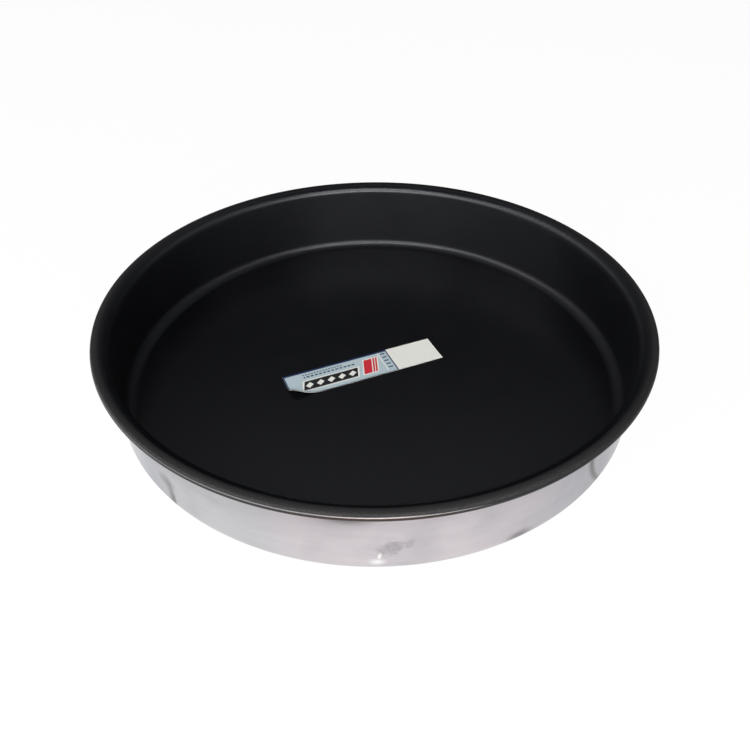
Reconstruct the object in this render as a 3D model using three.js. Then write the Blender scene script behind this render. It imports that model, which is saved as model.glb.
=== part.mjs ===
// Round baking tray: a pressed steel shell with a rolled lip, a non-stick lining, and a strip label on its floor.
// Millimetres, +Z up. The origin is the centre of the base's underside, which is the face that the tray rests on.

import * as THREE from 'three';

// Driving dimensions of the tray, taken on the face of the lining
const insideDiameter = 301.4;
const insideDepth = 48.7;
const cornerRadius = 5;
const lipBendRadius = 5;
const lipFlatWidth = 2.3;
const sheetThickness = 0.9;
const liningThickness = 0.35;
const bondGap = 0.05;

// The rolled edge: outer radius of the steel, and the elevations where the steel and the lining end on it
const curlRadius = 2;
const curlEndAngle = THREE.MathUtils.degToRad(-60);
const liningEndAngle = THREE.MathUtils.degToRad(36);

// The label, with one corner peeled up around a roll
const labelLength = 99.5;
const labelWidth = 21.5;
const labelCentreX = -6.8;
const labelCentreY = -2.0;
const labelTurn = THREE.MathUtils.degToRad(23);
const adhesiveThickness = 0.1;
const paperThickness = 0.2;
const peelAlongLength = 19;
const peelAlongWidth = 12.5;
const peelRollRadius = 8.5;

// Facets
const turnSegments = 72;
const arcSteps = 5;
const curlSteps = 8;
const liningCurlSteps = 3;
const peelSteps = 6;

// Depth of each skin below the face of the lining
const liningBack = liningThickness;
const steelFace = liningBack + bondGap;
const steelBack = steelFace + sheetThickness;

// Centres of the round stretches of the tray's section
const insideRadius = insideDiameter / 2;
const floorHeight = steelBack;
const lipHeight = floorHeight + insideDepth;
const cornerCentre = new THREE.Vector2(insideRadius - cornerRadius, floorHeight + cornerRadius);
const lipBendCentre = new THREE.Vector2(insideRadius + lipBendRadius, lipHeight - lipBendRadius);
const curlCentre = new THREE.Vector2(lipBendCentre.x + lipFlatWidth, lipHeight - steelFace - curlRadius);

function arc(centre, radius, from, to, steps) {
  const points = [];
  for (let i = 0; i <= steps; i++) {
    const angle = THREE.MathUtils.lerp(from, to, i / steps);
    points.push(new THREE.Vector2(centre.x + radius * Math.cos(angle), centre.y + radius * Math.sin(angle)));
  }
  return points;
}

// One skin of the section, from the axis out over the floor, up the wall and over the lip to its rolled edge
function skin(depth, endAngle, endSteps) {
  return [
    new THREE.Vector2(0, floorHeight - depth),
    ...arc(cornerCentre, cornerRadius + depth, -Math.PI / 2, 0, arcSteps),
    ...arc(lipBendCentre, lipBendRadius - depth, Math.PI, Math.PI / 2, arcSteps),
    ...arc(curlCentre, curlRadius + steelFace - depth, Math.PI / 2, endAngle, endSteps),
  ];
}

// A layer turned between two skins: out along its back, and home along its face
function turnedLayer(back, face, endAngle, endSteps) {
  const section = [...skin(back, endAngle, endSteps), ...skin(face, endAngle, endSteps).reverse()];
  return new THREE.LatheGeometry(section, turnSegments).rotateX(Math.PI / 2);
}

function trayShell() {
  const steel = new THREE.MeshStandardMaterial({ color: 0xc9c5c6, metalness: 1, roughness: 0.28 });
  const mesh = new THREE.Mesh(turnedLayer(steelBack, steelFace, curlEndAngle, curlSteps), steel);
  mesh.name = 'tray_shell';
  return mesh;
}

function nonstickLining() {
  const coating = new THREE.MeshStandardMaterial({ color: 0x151617, metalness: 0, roughness: 0.45 });
  const mesh = new THREE.Mesh(turnedLayer(liningBack, 0, liningEndAngle, liningCurlSteps), coating);
  mesh.name = 'nonstick_lining';
  return mesh;
}

// Lays a point of the label, given by its distances from the peeled corner and its height, flat or on the roll
function layOnLabel(along, across, height) {
  const gradient = new THREE.Vector2(1 / peelAlongLength, 1 / peelAlongWidth);
  const pastCrease = (1 - along * gradient.x - across * gradient.y) / gradient.length();
  const point = new THREE.Vector3(along - labelLength / 2, across - labelWidth / 2, height);
  if (pastCrease > 0) {
    const towardsCorner = gradient.normalize().negate();
    const angle = pastCrease / peelRollRadius;
    const rollRadius = peelRollRadius - height;
    const reach = rollRadius * Math.sin(angle) - pastCrease;
    point.x += towardsCorner.x * reach;
    point.y += towardsCorner.y * reach;
    point.z = peelRollRadius - rollRadius * Math.cos(angle);
  }
  return point;
}

// The label's outline, anticlockwise: its three whole corners, up the peeled end to the tip, and back to the crease
function labelOutline() {
  const outline = [[labelLength, 0], [labelLength, labelWidth], [0, labelWidth]];
  for (let i = 0; i <= peelSteps; i++) {
    outline.push([0, peelAlongWidth * (1 - i / peelSteps)]);
  }
  for (let i = peelSteps - 1; i >= 0; i--) {
    outline.push([peelAlongLength * (1 - i / peelSteps), 0]);
  }
  return outline;
}

// Triangles over the outline: the flat part as a fan, then a strip between each pair of folds along the crease
function labelTriangles(count) {
  const last = count - 1;
  const wholeCorners = 3;
  const triangles = [];
  for (let i = 0; i < wholeCorners; i++) {
    triangles.push([last, i, i + 1]);
  }
  for (let i = 0; i < peelSteps; i++) {
    const left = wholeCorners + i;
    const right = last - i;
    triangles.push([right, left, left + 1]);
    if (i < peelSteps - 1) {
      triangles.push([right, left + 1, right - 1]);
    }
  }
  return triangles;
}

// A layer of the label between two heights above the floor: its top, its underside and the edge around them
function labelLayer(low, high) {
  const outline = labelOutline();
  const count = outline.length;
  const top = outline.map(([along, across]) => layOnLabel(along, across, high));
  const underside = outline.map(([along, across]) => layOnLabel(along, across, low));
  const index = [];
  for (const [a, b, c] of labelTriangles(count)) {
    index.push(a, b, c);
    index.push(count + a, count + c, count + b);
  }
  for (let i = 0; i < count; i++) {
    const next = (i + 1) % count;
    index.push(i, count + i, count + next);
    index.push(i, count + next, next);
  }
  const geometry = new THREE.BufferGeometry().setFromPoints([...top, ...underside]);
  geometry.setIndex(index);
  geometry.computeVertexNormals();
  return geometry;
}

function label() {
  const glue = new THREE.MeshStandardMaterial({ color: 0xcfc9b4, metalness: 0, roughness: 0.6 });
  const paper = new THREE.MeshStandardMaterial({ color: 0xa9c3d2, metalness: 0, roughness: 0.5 });
  const adhesiveTop = bondGap + adhesiveThickness;
  const paperBack = adhesiveTop + bondGap;

  const adhesiveMesh = new THREE.Mesh(labelLayer(bondGap, adhesiveTop), glue);
  adhesiveMesh.name = 'label_adhesive';
  const paperMesh = new THREE.Mesh(labelLayer(paperBack, paperBack + paperThickness), paper);
  paperMesh.name = 'label_paper';

  const group = new THREE.Group();
  group.position.set(labelCentreX, labelCentreY, floorHeight);
  group.rotation.z = labelTurn;
  group.add(adhesiveMesh, paperMesh);
  return group;
}

const tray = new THREE.Group();
tray.add(trayShell(), nonstickLining(), label());

export default tray;
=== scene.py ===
"""Looks of a round baking tray: steel shell, black non-stick lining and strip label. Metres, +Z up."""

import math

import bmesh
import bpy
from mathutils import Euler, Matrix, Vector, noise


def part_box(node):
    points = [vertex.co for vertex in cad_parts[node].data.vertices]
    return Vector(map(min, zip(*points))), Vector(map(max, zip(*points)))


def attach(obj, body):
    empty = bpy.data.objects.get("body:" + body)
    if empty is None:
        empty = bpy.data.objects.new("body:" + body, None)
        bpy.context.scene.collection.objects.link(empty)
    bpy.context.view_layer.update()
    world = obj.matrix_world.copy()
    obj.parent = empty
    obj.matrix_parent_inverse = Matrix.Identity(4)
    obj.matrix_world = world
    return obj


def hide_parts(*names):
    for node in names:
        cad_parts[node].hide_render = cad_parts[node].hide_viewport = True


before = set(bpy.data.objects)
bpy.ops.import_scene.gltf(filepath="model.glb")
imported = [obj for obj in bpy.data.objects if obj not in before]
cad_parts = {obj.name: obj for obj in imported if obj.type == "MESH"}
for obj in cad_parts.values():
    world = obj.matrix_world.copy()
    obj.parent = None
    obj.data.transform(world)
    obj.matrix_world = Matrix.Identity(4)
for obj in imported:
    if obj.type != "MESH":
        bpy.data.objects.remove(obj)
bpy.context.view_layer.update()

MM = 0.001
BODY = "root"
QUARTER_TURN = math.pi / 2

# The tray's section: its radii on the face of the lining, and the layers below that face
CORNER_RADIUS = 5 * MM
LIP_BEND_RADIUS = 5 * MM
LIP_FLAT_WIDTH = 2.3 * MM
LINING = 0.35 * MM
BOND_GAP = 0.05 * MM
SHEET = 0.9 * MM
STEEL_FACE = LINING + BOND_GAP
STEEL_BACK = STEEL_FACE + SHEET

# The rolled edge: outer radius of the steel, and the elevation where the steel ends
CURL_RADIUS = 2 * MM
CURL_END = math.radians(-60)

# The section's places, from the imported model's rim and lip
RIM_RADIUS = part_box("tray_shell")[1].x
LIP_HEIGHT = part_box("nonstick_lining")[1].z
INSIDE_RADIUS = RIM_RADIUS - CURL_RADIUS - LIP_FLAT_WIDTH - LIP_BEND_RADIUS
WALL_RADIUS = INSIDE_RADIUS + STEEL_BACK
FLOOR_HEIGHT = STEEL_BACK
CORNER_CENTRE = (INSIDE_RADIUS - CORNER_RADIUS, FLOOR_HEIGHT + CORNER_RADIUS)
BEND_CENTRE = (INSIDE_RADIUS + LIP_BEND_RADIUS, LIP_HEIGHT - LIP_BEND_RADIUS)
CURL_CENTRE = (RIM_RADIUS - CURL_RADIUS, LIP_HEIGHT - STEEL_FACE - CURL_RADIUS)

# The coating's end on the rolled edge: its elevation, the thickness left there, and how it strays
LINING_END = math.radians(36)
LINING_EDGE = 0.03 * MM
END_RISE_DEGREES = 5
END_DROP_DEGREES = 30
END_WAVER_DEGREES = 2.5
END_WAVER_SCALE = 9

# Stretches of the rim, in degrees to the right of the front: set in, whole, fading and gone
RAISED_STRETCH = (-75, -55, 4, 14)
DROPPED_STRETCH = (12, 28, 100, 140)

# The label: its size and place on the floor, its peeled corner, and its layers' heights above the floor
LABEL_LENGTH = 99.5 * MM
LABEL_WIDTH = 21.5 * MM
LABEL_CENTRE = (-6.8 * MM, -2.0 * MM)
LABEL_TURN = math.radians(23)
PRINTED_LENGTH = 69.2 * MM
PEEL_ALONG = 19 * MM
PEEL_ACROSS = 12.5 * MM
PEEL_ROLL = 8.5 * MM
GLUE = (0.05 * MM, 0.15 * MM)
PAPER = (0.20 * MM, 0.40 * MM)

# Material slot of the back and the edges of a label layer
PLAIN_SIDE = 1

# Fineness of the meshes
TURN_SEGMENTS = 320
ARC_STEPS = 14
CURL_STEPS = 2 * ARC_STEPS
WALL_STEPS = 30
FLOOR_STEPS = 12
LIP_STEPS = 3
LABEL_CELL = 0.75 * MM
SHARP_ANGLE = math.radians(50)

# The camera at the photograph's place, from the fit to the rim, the lip and the foot
CAMERA_EYE = (0, -356.26 * MM, 290.57 * MM)
CAMERA_PITCH = math.radians(39.811)
CAMERA_YAW = math.radians(0.044)
CAMERA_ROLL = math.radians(0.296)
CAMERA_LENS = 35.134
CAMERA_SENSOR = 36.0
CAMERA_NEAR = 0.01

# The studio: its floor, the share of white on that floor, and the light of the dim room around
GROUND_SIZE = 16.0
GROUND_DROP = 0.2 * MM
GROUND_WHITE = 0.96
ROOM_STRENGTH = 0.016

# The low band of box lights: bearing in degrees to the right of the front, and brightness
LOW_BAND = {-135: 0.4, -105: 2.6, -75: 3.4, -45: 5.4, -15: 11.4, 15: 13.8, 45: 4.6, 100: 1.2}


def arc(centre, radius, start, end, steps):
    """Points (r, z) along an arc of the section."""
    angles = [start + (end - start) * i / steps for i in range(steps + 1)]
    return [(centre[0] + radius * math.cos(a), centre[1] + radius * math.sin(a)) for a in angles]


def between(start, end, steps):
    """Points inside a straight stretch of the section, without its two ends."""
    shares = [i / steps for i in range(1, steps)]
    return [tuple(a + (b - a) * share for a, b in zip(start, end)) for share in shares]


def skin(depth, curl_points):
    """One skin of the section, from the axis to the rolled edge, at a depth below the lining's face."""
    foot = arc(CORNER_CENTRE, CORNER_RADIUS + depth, -QUARTER_TURN, 0, ARC_STEPS)
    bend = arc(BEND_CENTRE, LIP_BEND_RADIUS - depth, math.pi, QUARTER_TURN, ARC_STEPS)
    axis = (0.0, FLOOR_HEIGHT - depth)
    floor = between(axis, foot[0], FLOOR_STEPS)
    wall = between(foot[-1], bend[0], WALL_STEPS)
    lip = between(bend[-1], curl_points[0], LIP_STEPS)
    return [axis, *floor, *foot, *wall, *bend, *lip, *curl_points]


def turned(name, section_at):
    """A closed mesh turned about the axis, from the section that section_at gives for an angle."""
    mesh = bmesh.new()
    rings = []
    for i in range(TURN_SEGMENTS):
        angle = 2 * math.pi * i / TURN_SEGMENTS
        along, aside = math.cos(angle), math.sin(angle)
        section = section_at(angle)
        rings.append([mesh.verts.new((r * along, r * aside, z)) for r, z in section[1:-1]])
    bottom = mesh.verts.new((0, 0, section[0][1]))
    top = mesh.verts.new((0, 0, section[-1][1]))
    for near, far in zip(rings, rings[1:] + rings[:1]):
        mesh.faces.new((bottom, far[0], near[0]))
        mesh.faces.new((top, near[-1], far[-1]))
        for j in range(len(near) - 1):
            mesh.faces.new((near[j], far[j], far[j + 1], near[j + 1]))
    return to_object(name, mesh)


def to_object(name, mesh):
    """Turns a bmesh into a smooth-shaded object, sharp where its faces meet at a real edge."""
    data = bpy.data.meshes.new(name)
    mesh.to_mesh(data)
    mesh.free()
    data.polygons.foreach_set("use_smooth", [True] * len(data.polygons))
    data.set_sharp_from_angle(angle=SHARP_ANGLE)
    obj = bpy.data.objects.new(name, data)
    bpy.context.collection.objects.link(obj)
    return obj


def stand_for(obj, node, slot, *materials):
    """Dresses a piece, hides the node that it replaces and lets it ride with the tray."""
    for material in materials:
        obj.data.materials.append(material)
    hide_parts(node)
    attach(obj, BODY)


class Graph:
    """Short calls that add nodes to a material's tree and return their output sockets."""

    # Places of the two colours and of the result among a mix node's sockets
    MIX_FIRST, MIX_SECOND, MIX_RESULT = 6, 7, 2

    def __init__(self, name):
        self.material = bpy.data.materials.new(name)
        self.material.use_nodes = True
        self.tree = self.material.node_tree
        self.shader = self.tree.nodes["Principled BSDF"]

    def node(self, kind, inputs=(), **settings):
        """Adds a node with its settings, and with values or links on its inputs."""
        made = self.tree.nodes.new(kind)
        for key, value in settings.items():
            setattr(made, key, value)
        for key, value in dict(inputs).items():
            self.put(made.inputs[key], value)
        return made

    def put(self, socket, value):
        """Links a socket to another, or sets its value."""
        if isinstance(value, bpy.types.NodeSocket):
            self.tree.links.new(value, socket)
        else:
            socket.default_value = value

    def set(self, **values):
        """Sets or links inputs of the shader, by their names with _ for each space."""
        for key, value in values.items():
            self.put(self.shader.inputs[key.replace("_", " ")], value)

    def math(self, operation, *values):
        return self.node("ShaderNodeMath", dict(enumerate(values)), operation=operation).outputs[0]

    def ramp(self, value, low, high, start=0.0, end=1.0, course="LINEAR"):
        """Takes a value from low and high to start and end, and holds it there beyond them."""
        inputs = {"Value": value, "From Min": low, "From Max": high, "To Min": start, "To Max": end}
        return self.node("ShaderNodeMapRange", inputs, interpolation_type=course).outputs[0]

    def smooth(self, value, low, high, start=0.0, end=1.0):
        """A ramp that leaves and arrives gently."""
        return self.ramp(value, low, high, start, end, course="SMOOTHSTEP")

    def mix(self, share, first, second):
        """A colour between two others, by the share of the second."""
        inputs = {"Factor": share, self.MIX_FIRST: first, self.MIX_SECOND: second}
        return self.node("ShaderNodeMix", inputs, data_type="RGBA").outputs[self.MIX_RESULT]

    def noise(self, place, scale, detail=3.0, roughness=0.5):
        inputs = {"Vector": place, "Scale": scale, "Detail": detail, "Roughness": roughness}
        return self.node("ShaderNodeTexNoise", inputs).outputs["Fac"]

    def combine(self, x, y, z):
        return self.node("ShaderNodeCombineXYZ", {"X": x, "Y": y, "Z": z}).outputs[0]

    def split(self, vector):
        return self.node("ShaderNodeSeparateXYZ", {"Vector": vector}).outputs

    def length(self, x, y):
        return self.math("SQRT", self.math("MULTIPLY_ADD", x, x, self.math("MULTIPLY", y, y)))

    def both(self, first, second):
        return self.math("MULTIPLY", first, second)

    def band(self, value, low, high, soft=0.12):
        """1 between low and high and 0 outside, with soft edges."""
        above = self.ramp(value, low - soft, low + soft)
        return self.both(above, self.ramp(value, high - soft, high + soft, 1.0, 0.0))

    def place(self):
        return self.node("ShaderNodeTexCoord").outputs["Object"]

    def bearing(self, x, y):
        """Angle round the axis in radians: 0 at the front, and growing to the right."""
        return self.math("ARCTAN2", x, self.math("MULTIPLY", y, -1.0))

    def scale(self, tint, factor):
        inputs = {0: tint, "Scale": factor}
        return self.node("ShaderNodeVectorMath", inputs, operation="SCALE").outputs[0]

    def bump(self, height, distance, strength, under=None):
        """A normal raised by a height, over another one where that is given."""
        inputs = {"Height": height, "Distance": distance, "Strength": strength}
        if under is not None:
            inputs["Normal"] = under
        return self.node("ShaderNodeBump", inputs).outputs["Normal"]


def colour(red, green, blue):
    return (red, green, blue, 1.0)


def nonstick_gloss(g, radius, z, turn, outwards):
    """Where the coating's gloss differs from its floor's: masks, and what each adds to the roughness.

    The lip is duller towards its edge, the foot all round, and both curves of the wall on its flanks.
    The bend at the front is glossier. The turn is the bearing from the front, either way.
    """
    past_floor = g.smooth(radius, CORNER_CENTRE[0] - 2 * MM, CORNER_CENTRE[0])
    from_middle = g.math("ABSOLUTE", g.math("SUBTRACT", z, LIP_HEIGHT / 2))
    curves = g.both(past_floor, g.smooth(from_middle, 17 * MM, 20 * MM))
    flanks = g.both(g.smooth(turn, 0.9, 1.3), g.smooth(turn, 2.75, 2.25))
    inner_bend = g.smooth(radius, BEND_CENTRE[0] + 0.5 * MM, BEND_CENTRE[0] - 1.5 * MM)
    on_bend = g.both(inner_bend, g.smooth(z, LIP_HEIGHT - 8 * MM, LIP_HEIGHT - 5 * MM))
    front_bend = g.both(on_bend, g.smooth(turn, 1.0, 0.6))
    foot = g.both(past_floor, g.smooth(z, FLOOR_HEIGHT + 1.9 * MM, FLOOR_HEIGHT + 0.6 * MM))
    return [
        (outwards, 0.22),
        (g.both(curves, flanks), 0.13),
        (front_bend, -0.16),
        (foot, 0.20),
    ]


def nonstick_material():
    """Semi-matte black coating: a sprayed mottle, fine grain, and a lip paler outwards and at the
    front, from wear and painted sheen.
    """
    g = Graph("nonstick_black")
    place = g.place()
    x, y, z = g.split(place)
    radius = g.length(x, y)
    turn = g.math("ABSOLUTE", g.bearing(x, y))
    mottle = g.noise(place, scale=45.0, detail=4.0)
    grain = g.noise(place, scale=1500.0, detail=2.0, roughness=0.6)
    peel = g.noise(place, scale=330.0)
    flecks = g.ramp(g.noise(place, scale=2300.0, detail=1.0), 0.60, 0.74, end=0.22)

    outwards = g.smooth(radius, BEND_CENTRE[0] - 1.4 * MM, RIM_RADIUS - 1.6 * MM)
    on_lip = g.smooth(z, LIP_HEIGHT - 1.6 * MM, LIP_HEIGHT - 0.2 * MM)
    # Wear with painted sheen: the lip is paler towards its edge, fully at the front and half as much at
    # the sides and the back
    front_weight = g.smooth(turn, 0.4, 1.0, start=1.0, end=0.5)
    lip_wear_and_sheen = g.both(g.both(outwards, on_lip), front_weight)
    ground = g.mix(mottle, colour(0.0016, 0.0018, 0.0026), colour(0.0028, 0.0030, 0.0040))
    ground = g.mix(flecks, ground, colour(0.026, 0.026, 0.027))
    edge = g.mix(g.ramp(grain, 0.35, 0.65), colour(0.009, 0.0085, 0.0082), colour(0.026, 0.0245, 0.024))
    g.set(Base_Color=g.mix(lip_wear_and_sheen, ground, edge))

    satin = g.math("MULTIPLY_ADD", grain, 0.06, g.ramp(mottle, 0.3, 0.7, 0.275, 0.315))
    for mask, rise in nonstick_gloss(g, radius, z, turn, outwards):
        satin = g.math("MULTIPLY_ADD", mask, rise, satin)
    shoulder = g.smooth(radius, CURL_CENTRE[0] - 0.6 * MM, CURL_CENTRE[0] + 1.4 * MM)
    g.set(Roughness=satin, Specular_IOR_Level=0.43)
    g.set(Specular_Tint=g.mix(shoulder, colour(0.94, 0.95, 1.0), colour(0.24, 0.24, 0.25)))
    fine = g.bump(grain, distance=0.03 * MM, strength=0.6)
    g.set(Normal=g.bump(peel, distance=0.05 * MM, strength=0.25, under=fine))
    return g.material


def streak(g, spot, centre, bend, bend_height, widths):
    """A bent stroke down the wall: 1 on its line, and 0 at its widths to the left and right."""
    around, height = spot
    rise = g.math("SUBTRACT", height, bend_height)
    line = g.math("MULTIPLY_ADD", g.math("MULTIPLY", rise, rise), bend, centre)
    aside = g.math("SUBTRACT", around, line)
    return g.both(g.smooth(aside, -widths[0], 0.0), g.smooth(aside, widths[1], 0.0))


def from_oval(g, spot, centre, radii, tilt=0.0):
    """How far a spot on the wall lies from an oval's middle: 1 on the oval's outline."""
    u = g.math("SUBTRACT", spot[0], centre[0])
    v = g.math("SUBTRACT", g.math("SUBTRACT", spot[1], centre[1]), g.math("MULTIPLY", u, tilt))
    return g.length(g.math("DIVIDE", u, radii[0]), g.math("DIVIDE", v, radii[1]))


def oval(g, spot, centre, radii, tilt=0.0, core=0.0):
    """A soft oval on the wall: 0 on its outline, and 1 within the core's share of it."""
    return g.smooth(from_oval(g, spot, centre, radii, tilt), 1.0, core)


def smudges_and_painted_shade(g, spot, place):
    """Darker places on the wall: smudges, painted reflections and painted shade; masks, and the share
    of light that each takes.

    A spot is millimetres round the wall to the right of the front, and up the wall.
    """
    around, height = spot
    ragged = g.math("MULTIPLY_ADD", g.noise(place, scale=420.0, detail=4.0, roughness=0.65), 1.8, -0.9)
    patchy = g.ramp(g.noise(place, scale=900.0, roughness=0.6), 0.35, 0.6, 0.6, 1.0)

    def ragged_oval(centre, radii, tilt):
        """An oval with a ragged outline and a patchy middle."""
        distance = g.math("ADD", from_oval(g, spot, centre, radii, tilt), ragged)
        return g.both(g.smooth(distance, 1.2, 0.6), patchy)

    # Painted reflections: a dark streak down each side of the wall, and an arm off the left one
    left = streak(g, spot, centre=-110.2, bend=-0.007, bend_height=8.0, widths=(5.4, 3.0))
    right = streak(g, spot, centre=116.7, bend=0.0155, bend_height=36.0, widths=(4.0, 3.6))
    left_half = g.both(g.smooth(around, 6.0, -18.0), g.smooth(around, -330.0, -230.0))
    left_reflection_arm = oval(g, spot, (-113.6, 19.2), (10.0, 6.6), core=0.1)
    smudge = ragged_oval((7.2, 18.0), (6.8, 4.6), tilt=0.28)
    dab = ragged_oval((15.6, 20.4), (2.5, 3.3), tilt=0.4)
    # Painted shade under the lip: a wide soft patch, a darker core, a fade up the wall, and more on the
    # left
    lip_shadow_haze = oval(g, spot, (-14.0, 36.5), (28.0, 7.0))
    shade = oval(g, spot, (-12.5, 37.8), (17.0, 4.6))
    # Darker low on the wall, to the right of the front
    low_dark_patch = oval(g, spot, (71.4, 5.6), (10.8, 5.8))
    lip_shadow_fade = g.smooth(height, 24.0, 40.0)
    lip_shadow_left = g.both(g.smooth(height, 18.0, 28.0), left_half)
    # Painted contact shade along the foot of the wall
    foot = g.smooth(height, 5.4, 3.4)
    return [
        (g.both(left, g.smooth(height, 28.0, 6.0)), 0.74),
        (left_reflection_arm, 0.38),
        (g.both(right, g.smooth(height, 38.0, 28.0)), 0.86),
        (smudge, 0.28),
        (dab, 0.17),
        (lip_shadow_haze, 0.20),
        (shade, 0.52),
        (low_dark_patch, 0.58),
        (lip_shadow_fade, 0.10),
        (lip_shadow_left, 0.07),
        (foot, 0.26),
    ]


def painted_highlights(g, spot):
    """Painted highlights low on the front of the wall: masks, and the share of white in each."""
    around, height = spot
    rings = g.noise(g.combine(around, g.math("MULTIPLY", height, 9.0), 0.0), scale=0.12, detail=2.0)
    # A glint, a flare round it and a faint ringed glow: painted highlights on the foot
    glint = oval(g, spot, (1.8, 12.0), (1.5, 3.6), tilt=0.5, core=0.1)
    flare = oval(g, spot, (0.8, 8.0), (8.0, 4.6))
    glow = oval(g, spot, (0.5, 8.0), (26.0, 8.0))
    return [
        (glint, 0.90),
        (g.both(flare, flare), 0.95),
        (g.both(glow, g.ramp(rings, 0.35, 0.6)), 0.14),
    ]


def steel_with_painted_reflections(g, bearing, drift):
    """The steel's colour round the wall, with painted reflections: palest at the front and the back,
    deeper at the sides.
    """
    # The bearings where a painted reflection tint sets in, is whole and is gone again, and its colour
    reflection_tints = [
        ((-0.20, -0.40, -2.6), colour(0.546, 0.542, 0.560)),
        ((-0.64, -0.88, -1.75), colour(0.348, 0.353, 0.390)),
        ((0.14, 0.86, 2.1), colour(0.352, 0.349, 0.376)),
        ((0.66, 0.98, 1.75), colour(0.188, 0.188, 0.218)),
    ]
    fade_start = 0.6
    steel = colour(0.624, 0.577, 0.602)
    for (sets_in, whole, gone), tint in reflection_tints:
        share = g.math("ADD", g.smooth(bearing, sets_in, whole), drift)
        share = g.both(share, g.smooth(bearing, gone, gone * fade_start))
        steel = g.mix(share, steel, tint)
    return steel


def steel_material():
    """Polished steel: lines round the wall, smudges, painted reflections, shade and highlights on it,
    and painted shade on the rolled edge.
    """
    g = Graph("polished_steel")
    place = g.place()
    x, y, z = g.split(place)
    radius = g.length(x, y)
    bearing = g.bearing(x, y)
    turn = g.math("ABSOLUTE", bearing)
    along = g.math("ADD", radius, z)
    spot = (g.math("MULTIPLY", bearing, WALL_RADIUS / MM), g.math("DIVIDE", z, MM))

    def spun(across, rings, detail):
        """Noise drawn out round the tray: its scale across the tray and along the section."""
        flat_x, flat_y = (g.math("MULTIPLY", side, across) for side in (x, y))
        return g.noise(g.combine(flat_x, flat_y, g.math("MULTIPLY", along, rings)), 1.0, detail)

    lines = spun(across=13.0, rings=1200.0, detail=3.0)
    smears = spun(across=30.0, rings=190.0, detail=2.0)
    cloud = g.noise(place, scale=26.0)

    tone = g.both(g.ramp(smears, 0.3, 0.7, 0.975, 1.025), g.ramp(lines, 0.3, 0.7, 0.985, 1.015))
    # Smudges, painted reflections and painted shade take light off the tone
    for mask, share in smudges_and_painted_shade(g, spot, place):
        tone = g.both(tone, g.math("MULTIPLY_ADD", mask, -share, 1.0))
    shine = 0.0
    for mask, share in painted_highlights(g, spot):
        shine = g.math("MAXIMUM", shine, g.math("MULTIPLY", mask, share))
    steel = g.scale(steel_with_painted_reflections(g, bearing, g.ramp(cloud, 0.3, 0.7, -0.1, 0.1)), tone)
    # Painted highlights mix the steel towards white
    steel = g.mix(shine, steel, colour(0.97, 0.95, 0.95))

    # The rolled edge, by elevation: uncoated steel below the lining's end, then painted shade as a dark
    # band
    out = g.math("SUBTRACT", radius, CURL_CENTRE[0])
    up = g.math("SUBTRACT", z, CURL_CENTRE[1])
    elevation = g.math("DEGREES", g.math("ARCTAN2", up, out))
    on_edge = g.ramp(radius, CURL_CENTRE[0] - 0.1 * MM, CURL_CENTRE[0])
    bare_line = g.both(on_edge, g.ramp(elevation, 16.0, 24.0))
    edge_shade = g.both(on_edge, g.ramp(elevation, 28.0, 22.0))
    # The uncoated steel is lighter and warmer at the front: painted highlight
    bare_steel_and_highlight = g.mix(g.smooth(turn, 0.18, 0.01), colour(0.087, 0.085, 0.085), colour(0.160, 0.145, 0.134))
    # The dark band of painted shade is a little lighter and warmer at the front: painted sheen
    edge_shade_colour = g.mix(g.smooth(turn, 0.42, 0.02), colour(0.013, 0.013, 0.014), colour(0.020, 0.014, 0.012))

    g.set(Base_Color=g.mix(edge_shade, g.mix(bare_line, steel, bare_steel_and_highlight), edge_shade_colour))
    g.set(Metallic=g.math("SUBTRACT", 1.0, edge_shade), Specular_IOR_Level=0.12)
    polish = g.math("MULTIPLY_ADD", lines, 0.08, g.ramp(cloud, 0.3, 0.7, 0.15, 0.20))
    g.set(Roughness=g.math("MULTIPLY_ADD", bare_line, 0.2, polish))
    g.set(Normal=g.bump(lines, distance=0.004 * MM, strength=0.12))
    return g.material


def paper_material():
    """Plain back and edges of the label paper."""
    g = Graph("label_paper_plain")
    fibre = g.noise(g.place(), scale=1800.0)
    g.set(Base_Color=g.mix(fibre, colour(0.60, 0.59, 0.55), colour(0.70, 0.69, 0.65)), Roughness=0.6)
    g.set(Normal=g.bump(fibre, distance=0.02 * MM, strength=0.2))
    return g.material


def glue_material():
    """Dull glue layer with small voids."""
    g = Graph("label_glue")
    voids = g.noise(g.place(), scale=420.0, detail=4.0)
    g.set(Base_Color=g.mix(g.ramp(voids, 0.4, 0.6), colour(0.30, 0.29, 0.26), colour(0.42, 0.40, 0.36)))
    g.set(Roughness=0.55, Normal=g.bump(voids, distance=0.03 * MM, strength=0.3))
    return g.material


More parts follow.
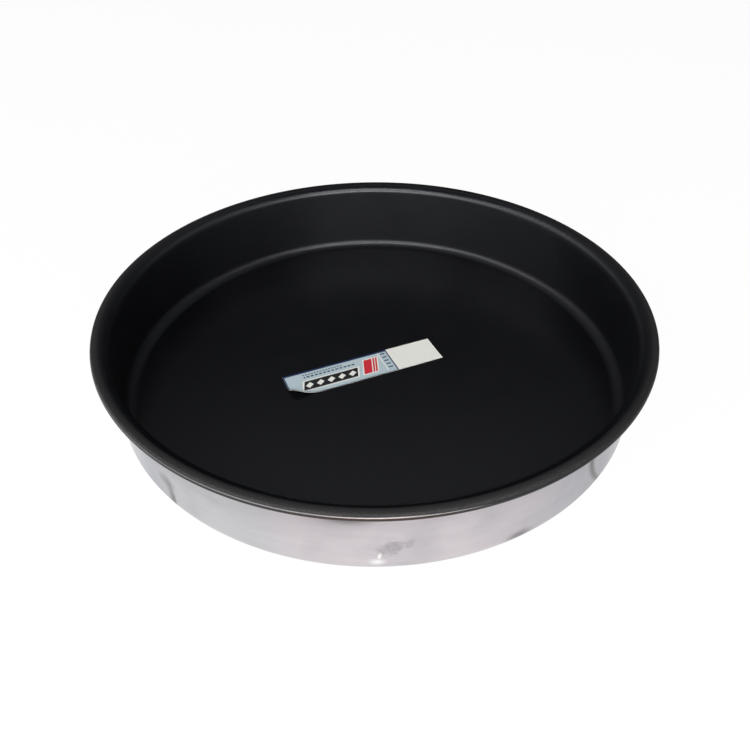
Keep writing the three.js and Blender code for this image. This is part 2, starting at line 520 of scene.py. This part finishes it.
def print_material():
    """Printed face of the label: a pale field with a bar, a block and dashes, and a blank end.

    The places on it are millimetres from the corner that peels, along the label and across it.
    """
    g = Graph("label_print")
    sheet = g.split(g.node("ShaderNodeUVMap", uv_map="sheet").outputs["UV"])
    printed = PRINTED_LENGTH / MM
    width = LABEL_WIDTH / MM
    past = 1.0
    lean = -0.35
    u = g.math("MULTIPLY", sheet["X"], LABEL_LENGTH / MM)
    v = g.math("MULTIPLY", sheet["Y"], width)
    slant = g.math("MULTIPLY_ADD", v, lean, u)
    ink = g.noise(g.combine(u, v, 0.0), scale=2.2)
    white = g.mix(ink, colour(0.73, 0.73, 0.68), colour(0.81, 0.81, 0.76))
    pale = g.mix(ink, colour(0.40, 0.50, 0.54), colour(0.48, 0.57, 0.61))
    navy = colour(0.015, 0.030, 0.095)
    charcoal = colour(0.014, 0.014, 0.016)
    red = colour(0.56, 0.024, 0.040)

    def panel(along, low, high, bottom, top):
        return g.both(g.band(along, low, high), g.band(v, bottom, top))

    def dashes(low, high, bottom, top, pitch):
        strokes = g.band(g.math("MODULO", u, pitch), 0.15 * pitch, 0.85 * pitch)
        return g.both(panel(u, low, high, bottom, top), strokes)

    def lozenges(middle, pitch, reach):
        step = g.math("SUBTRACT", g.math("MODULO", slant, pitch), pitch / 2)
        aside = g.math("ABSOLUTE", g.math("SUBTRACT", v, middle))
        return g.band(g.math("ADD", g.math("ABSOLUTE", step), aside), -past, reach)

    bar = panel(slant, 7.0, 42.0, 4.0, 12.0)
    block = panel(slant, 46.2, 55.2, 4.0, 16.8)
    rungs = g.band(g.math("MODULO", v, 3.4), 0.8, 1.9)

    # From the ground up: framed bar, dashes, framed block, rule and rungs, and the border
    layers = [
        (g.band(u, -past, printed), pale),
        (panel(slant, 5.9, 43.1, 3.2, 12.8), white),
        (bar, charcoal),
        (g.both(bar, lozenges(middle=8.0, pitch=7.0, reach=2.5)), white),
        (dashes(12.0, 46.0, 15.2, 16.4, pitch=2.7), navy),
        (dashes(12.0, 38.0, 17.6, 18.4, pitch=1.9), navy),
        (panel(slant, 45.4, 56.0, 3.3, 17.5), white),
        (block, red),
        (g.both(block, g.band(slant, 51.6, 52.3)), white),
        (g.both(block, g.band(slant, 53.5, 54.0)), white),
        (panel(u, 62.6, 63.2, 1.5, 20.0), white),
        (g.both(panel(u, 64.3, 67.2, 2.0, 20.0), rungs), navy),
        (g.band(u, printed - 0.8, printed), navy),
        (panel(u, -past, printed, width - 1.4, width + past), navy),
        (panel(u, -past, printed, -past, 0.4), navy),
        (g.band(u, -past, 0.8), navy),
    ]
    paint = white
    for mask, ink_colour in layers:
        paint = g.mix(mask, paint, ink_colour)
    g.set(Base_Color=paint, Roughness=g.ramp(ink, 0.3, 0.7, 0.40, 0.48))
    g.set(Normal=g.bump(ink, distance=0.02 * MM, strength=0.2))
    return g.material


def make_shell():
    """The pressed shell: underside, wall and rolled edge, and its face under the lining."""
    inner_curl = arc(CURL_CENTRE, CURL_RADIUS - SHEET, QUARTER_TURN, CURL_END, ARC_STEPS)
    outer_curl = arc(CURL_CENTRE, CURL_RADIUS, QUARTER_TURN, CURL_END, CURL_STEPS)
    section = skin(STEEL_BACK, inner_curl) + skin(STEEL_FACE, outer_curl)[::-1]
    shell = turned("shell", lambda angle: section)
    stand_for(shell, "tray_shell", "polished_steel", steel_material())


def ease(value, low, high):
    """A smooth step from 0 at low to 1 at high."""
    share = min(max((value - low) / (high - low), 0.0), 1.0)
    return share * share * (3 - 2 * share)


def along_stretch(value, stretch):
    """1 where a stretch is whole and 0 outside it, with smooth ends."""
    sets_in, whole, fades, gone = stretch
    return ease(value, sets_in, whole) * (1 - ease(value, fades, gone))


def lining_end(angle):
    """Elevation where the coating ends on the rolled edge: high at the front left, low on the right."""
    from_front = (math.degrees(angle) + 270) % 360 - 180
    rise = END_RISE_DEGREES * along_stretch(from_front, RAISED_STRETCH)
    drop = END_DROP_DEGREES * along_stretch(from_front, DROPPED_STRETCH)
    place = Vector((END_WAVER_SCALE * math.cos(angle), END_WAVER_SCALE * math.sin(angle), 0))
    return LINING_END + math.radians(rise - drop + END_WAVER_DEGREES * noise.noise(place))


def lining_section(angle):
    """The coating's section, thinned to a feather edge where it ends."""
    end = lining_end(angle)
    back_radius = CURL_RADIUS + BOND_GAP / 2
    full_radius = CURL_RADIUS + STEEL_FACE
    edge_radius = back_radius + LINING_EDGE
    back = arc(CURL_CENTRE, back_radius, QUARTER_TURN, end, CURL_STEPS)
    face = []
    for i in range(CURL_STEPS + 1):
        share = i / CURL_STEPS
        turn = QUARTER_TURN + (end - QUARTER_TURN) * share
        radius = full_radius + (edge_radius - full_radius) * share ** 2
        out, up = radius * math.cos(turn), radius * math.sin(turn)
        face.append((CURL_CENTRE[0] + out, CURL_CENTRE[1] + up))
    return skin(LINING, back) + skin(0.0, face)[::-1]


def make_lining():
    """The coating on the floor, the wall and the lip."""
    lining = turned("lining", lining_section)
    stand_for(lining, "nonstick_lining", "nonstick_black", nonstick_material())


def lay_on_label(along, across, height):
    """A point of the label, by its distances from the peeled corner: flat, or up on the roll."""
    slope = Vector((1 / PEEL_ALONG, 1 / PEEL_ACROSS))
    past_crease = (1 - along * slope.x - across * slope.y) / slope.length
    point = Vector((along - LABEL_LENGTH / 2, across - LABEL_WIDTH / 2, height))
    if past_crease > 0:
        angle = past_crease / PEEL_ROLL
        roll = PEEL_ROLL - height
        reach = roll * math.sin(angle) - past_crease
        towards_corner = -slope.normalized()
        point.x += towards_corner.x * reach
        point.y += towards_corner.y * reach
        point.z = PEEL_ROLL - roll * math.cos(angle)
    return point


def label_sheet(name, low, high):
    """One layer of the label as a closed sheet, with its flat place kept as UVs."""
    columns = round(LABEL_LENGTH / LABEL_CELL)
    rows = round(LABEL_WIDTH / LABEL_CELL)
    mesh = bmesh.new()
    sheet = mesh.loops.layers.uv.new("sheet")
    share = {}

    def surface(height):
        """Corners of the cells at a height, column by column, with each one's share of the sheet."""
        grid = []
        for i in range(columns + 1):
            along = LABEL_LENGTH * i / columns
            places = [lay_on_label(along, LABEL_WIDTH * j / rows, height) for j in range(rows + 1)]
            column = [mesh.verts.new(place) for place in places]
            share.update((vert, (i / columns, j / rows)) for j, vert in enumerate(column))
            grid.append(column)
        return grid

    top, under = surface(high), surface(low)
    for i in range(columns):
        for j in range(rows):
            corners = ((i, j), (i + 1, j), (i + 1, j + 1), (i, j + 1))
            mesh.faces.new([top[a][b] for a, b in corners])
            face = mesh.faces.new([under[a][b] for a, b in reversed(corners)])
            face.material_index = PLAIN_SIDE
    border = [(i, 0) for i in range(columns)] + [(columns, j) for j in range(rows)]
    border += [(i, rows) for i in range(columns, 0, -1)] + [(0, j) for j in range(rows, 0, -1)]
    for (a, b), (c, d) in zip(border, border[1:] + border[:1]):
        face = mesh.faces.new((top[a][b], under[a][b], under[c][d], top[c][d]))
        face.material_index = PLAIN_SIDE
    for face in mesh.faces:
        for loop in face.loops:
            loop[sheet].uv = share[loop.vert]
    obj = to_object(name, mesh)
    obj.location = (*LABEL_CENTRE, FLOOR_HEIGHT)
    obj.rotation_euler = (0, 0, LABEL_TURN)
    return obj


def make_label():
    """The label's paper and the glue under it."""
    paper = label_sheet("label", *PAPER)
    stand_for(paper, "label_paper", "label_paper", print_material(), paper_material())
    glue = glue_material()
    stand_for(label_sheet("label_glue_layer", *GLUE), "label_adhesive", "label_glue", glue, glue)


def make_camera():
    """A camera at the photograph's place and angle."""
    data = bpy.data.cameras.new("camera")
    data.sensor_width = CAMERA_SENSOR
    data.lens = CAMERA_LENS
    data.clip_start = CAMERA_NEAR
    camera = bpy.data.objects.new("camera", data)
    aim = Euler((QUARTER_TURN - CAMERA_PITCH, 0, -CAMERA_YAW)).to_matrix()
    turn = aim @ Matrix.Rotation(-CAMERA_ROLL, 3, "Z")
    camera.matrix_world = Matrix.Translation(CAMERA_EYE) @ turn.to_4x4()
    bpy.context.collection.objects.link(camera)
    bpy.context.scene.camera = camera


def make_floor():
    """A pale floor, white where it is seen or mirrored, that keeps a faint shadow of the tray."""
    bpy.ops.mesh.primitive_plane_add(size=GROUND_SIZE, location=(0, 0, -GROUND_DROP))
    floor = bpy.context.active_object
    floor.name = "floor"
    g = Graph("pale_floor")
    g.set(Base_Color=colour(0.85, 0.85, 0.85), Roughness=0.9, Specular_IOR_Level=0.0)
    ray = g.node("ShaderNodeLightPath").outputs
    mirrored = g.math("MAXIMUM", ray["Is Glossy Ray"], ray["Is Transmission Ray"])
    white_share = g.math("MULTIPLY", g.math("MAXIMUM", ray["Is Camera Ray"], mirrored), GROUND_WHITE)
    white = g.node("ShaderNodeEmission").outputs[0]
    surface = g.node("ShaderNodeMixShader", {0: white_share, 1: g.shader.outputs[0], 2: white})
    g.put(g.tree.nodes["Material Output"].inputs["Surface"], surface.outputs[0])
    floor.data.materials.append(g.material)


def softbox(name, bearing, elevation, distance, size, brightness):
    """A box light aimed at the tray: bearing to the right of the front and elevation, in degrees."""
    turn, rise = math.radians(bearing), math.radians(elevation)
    flat = distance * math.cos(rise)
    place = Vector((flat * math.sin(turn), -flat * math.cos(turn), distance * math.sin(rise)))
    data = bpy.data.lights.new(name, "AREA")
    data.shape = "RECTANGLE"
    data.size, data.size_y = size
    data.energy = brightness * math.pi * size[0] * size[1]
    lamp = bpy.data.objects.new(name, data)
    lamp.location = place
    lamp.rotation_euler = (-place).to_track_quat("-Z", "Y").to_euler()
    lamp.visible_camera = False
    bpy.context.collection.objects.link(lamp)


def make_lights():
    """Soft studio light: a key above the camera, a low band, and fill from both sides and the back."""
    softbox("key", bearing=0, elevation=48, distance=0.8, size=(0.9, 0.2), brightness=10.7)
    for bearing, brightness in LOW_BAND.items():
        name = f"low_{bearing}"
        softbox(name, bearing, elevation=9, distance=1.8, size=(0.94, 0.56), brightness=brightness)
    strip = (0.94, 0.32)
    softbox("fill_left", bearing=-80, elevation=36, distance=1.8, size=(1.2, 0.32), brightness=8.0)
    softbox("fill_front_left", bearing=-45, elevation=25, distance=1.8, size=strip, brightness=4.6)
    softbox("fill_right", bearing=75, elevation=36, distance=1.8, size=strip, brightness=2.9)
    softbox("fill_back", bearing=180, elevation=58, distance=2.2, size=(2.0, 0.9), brightness=0.42)


def make_world():
    """A dim room for the tray to mirror, and a white backdrop where the camera looks past the floor."""
    world = bpy.data.worlds.new("studio")
    world.use_nodes = True
    nodes = world.node_tree.nodes
    links = world.node_tree.links
    room = nodes["Background"]
    room.inputs["Color"].default_value = colour(0.86, 0.92, 1.0)
    room.inputs["Strength"].default_value = ROOM_STRENGTH
    backdrop = nodes.new("ShaderNodeBackground")
    backdrop.inputs["Color"].default_value = colour(1, 1, 1)
    ray = nodes.new("ShaderNodeLightPath")
    choice = nodes.new("ShaderNodeMixShader")
    links.new(ray.outputs["Is Camera Ray"], choice.inputs[0])
    links.new(room.outputs[0], choice.inputs[1])
    links.new(backdrop.outputs[0], choice.inputs[2])
    links.new(choice.outputs[0], nodes["World Output"].inputs["Surface"])
    bpy.context.scene.world = world


make_shell()
make_lining()
make_label()
make_camera()
make_floor()
make_lights()
make_world()
bpy.context.scene.view_settings.view_transform = "Standard"
